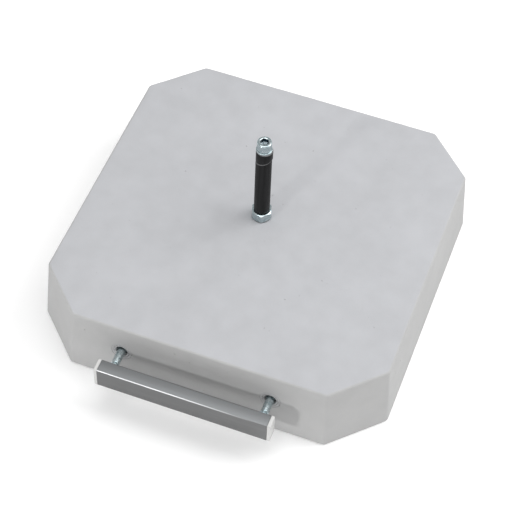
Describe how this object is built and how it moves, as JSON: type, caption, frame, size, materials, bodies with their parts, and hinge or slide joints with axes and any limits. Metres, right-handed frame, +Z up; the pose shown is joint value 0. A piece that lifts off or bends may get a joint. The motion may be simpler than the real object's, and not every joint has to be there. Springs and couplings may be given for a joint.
{
  "type": "parasol base",
  "caption": "Eight-sided cast concrete parasol base with a wedge-clamp spigot that a pole slides over and a pull-out carrying handle.",
  "frame": {"origin": "on the ground under the spigot's axis", "axes": "+Z up along the spigot, the carrying handle on the -Y side, +X to the right seen from the handle"},
  "size_m": [0.4496, 0.4913, 0.2342],
  "materials": {
    "concrete": "matte",
    "black_coated": "satin",
    "zinc_plated": "satin",
    "plain_steel": "matte",
    "anodised_aluminium": "satin",
    "white_plastic": "satin",
    "grey_plastic": "matte"
  },
  "bodies": {
    "base": {"concrete_slab": "concrete", "anchor_socket": "plain_steel", "anchor_cross_bar": "plain_steel", "lock_nut": "zinc_plated", "pole_spigot": "black_coated", "guide_cup_left": "grey_plastic", "guide_cup_right": "grey_plastic", "mouth_collar_left": "grey_plastic", "mouth_collar_right": "grey_plastic"},
    "wedge": {"clamp_wedge": "black_coated"},
    "washer": {"clamp_washer": "zinc_plated"},
    "screw": {"clamp_screw": "zinc_plated"},
    "handle": {"handle_profile": "anodised_aluminium", "end_cap_left": "white_plastic", "end_cap_right": "white_plastic", "handle_bolt_left": "zinc_plated", "handle_bolt_right": "zinc_plated", "stop_washer_left": "zinc_plated", "stop_washer_right": "zinc_plated", "jam_nut_left": "zinc_plated", "jam_nut_right": "zinc_plated", "inner_nut_left": "zinc_plated", "inner_nut_right": "zinc_plated"}
  },
  "joints": [
    {"name": "washer_drop", "type": "slide", "parent": "base", "child": "washer", "axis": [0, 0, -1], "range_m": [0, 0.00082]},
    {"name": "clamp_turn", "type": "hinge", "parent": "washer", "child": "screw", "pos_m": [0, 0, 0.227], "axis": [0, 0, -1], "range_deg": [0, 166]},
    {"name": "wedge_slide", "type": "slide", "parent": "base", "child": "wedge", "axis": [-0.9511, 0, -0.309], "range_m": [0, 0.0026]},
    {"name": "handle_slide", "type": "slide", "parent": "base", "child": "handle", "axis": [0, 1, 0], "range_m": [0, 0.021]}
  ],
  "couplings": [
    {"joint": "washer_drop", "follows": "wedge_slide", "ratio": 0.30902},
    {"joint": "clamp_turn", "follows": "wedge_slide", "rad_per_m": 1109.5}
  ]
}
